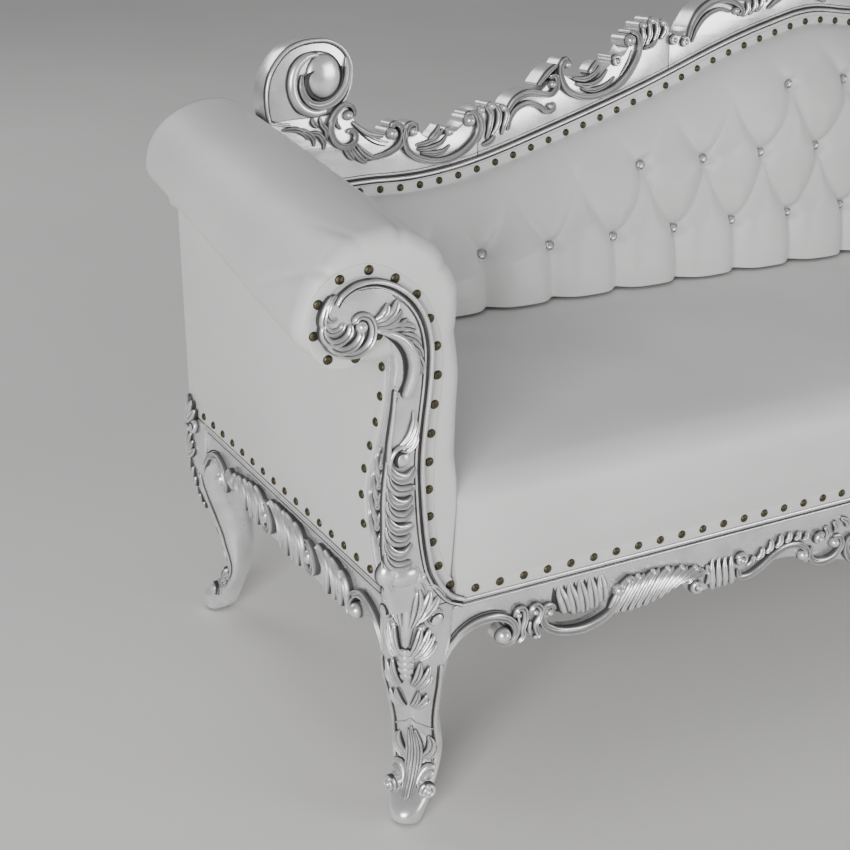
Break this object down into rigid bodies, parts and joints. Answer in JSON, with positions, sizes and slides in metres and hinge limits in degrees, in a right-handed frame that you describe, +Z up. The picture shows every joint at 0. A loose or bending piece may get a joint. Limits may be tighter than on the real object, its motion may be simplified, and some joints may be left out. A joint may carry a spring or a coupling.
{
  "type": "chaise longue",
  "caption": "Long upholstered seat with rolled arms of two heights, a rising tufted back, carved show-wood frame, scrolled posts and cabriole legs.",
  "frame": {"origin": "centre of the footprint's bounding box on the floor", "axes": "+Z up, +X along the length towards the taller head-end arm, +Y towards the back, so the open front faces -Y"},
  "size_m": [1.744, 0.7168, 1.0094],
  "materials": {
    "silver_carving": "carved wood, silver leaf rubbed back to a dark patina in the hollows",
    "steel": "zinc plated",
    "bare_wood": "unfinished hardwood",
    "webbing": "woven webbing",
    "dust_cloth": "thin black cloth",
    "white_cover": "smooth white cover, soft satin",
    "white_trim": "flat band of the cover's own material",
    "foam": "cut foam",
    "bronze_nails": "antique bronze, mottled",
    "button_metal": "polished",
    "crystal": "faceted, clear"
  },
  "bodies": {
    "root": {"front_left_leg": "silver_carving", "front_right_leg": "silver_carving", "rear_left_leg": "silver_carving", "rear_right_leg": "silver_carving", "floor_glides": "steel", "leg_bolts": "steel", "leg_nuts": "steel", "rail_dowels": "bare_wood", "front_rail": "silver_carving", "left_side_rail": "silver_carving", "right_side_rail": "silver_carving", "back_rail": "silver_carving", "corner_blocks": "bare_wood", "seat_cross_bars": "bare_wood", "webbing_battens": "bare_wood", "webbing_long": "webbing", "webbing_cross": "webbing", "dust_cover": "dust_cloth", "left_arm_post": "silver_carving", "right_arm_post": "silver_carving", "left_arm_frame": "bare_wood", "right_arm_frame": "bare_wood", "left_arm_pad": "white_cover", "right_arm_pad": "white_cover", "left_outside_panel": "white_cover", "right_outside_panel": "white_cover", "left_back_post": "bare_wood", "right_back_post": "bare_wood", "back_uprights": "bare_wood", "back_lower_rail": "bare_wood", "crest_rail_foot": "silver_carving", "crest_rail_middle": "silver_carving", "crest_rail_head": "silver_carving", "crest_volute_foot": "silver_carving", "crest_volute_head": "silver_carving", "crest_dowels": "bare_wood", "seat_foam": "foam", "seat_cover": "white_cover", "back_foam": "foam", "tufted_back": "white_cover", "outside_back_panel": "white_cover", "back_webbing": "webbing", "front_trim": "white_trim", "left_side_trim": "white_trim", "right_side_trim": "white_trim", "left_post_trim": "white_trim", "right_post_trim": "white_trim", "crest_trim": "white_trim", "front_nails": "bronze_nails", "left_side_nails": "bronze_nails", "right_side_nails": "bronze_nails", "left_post_nails": "bronze_nails", "right_post_nails": "bronze_nails", "crest_nails": "bronze_nails", "button_settings": "button_metal", "button_crystals": "crystal"}
  },
  "joints": []
}
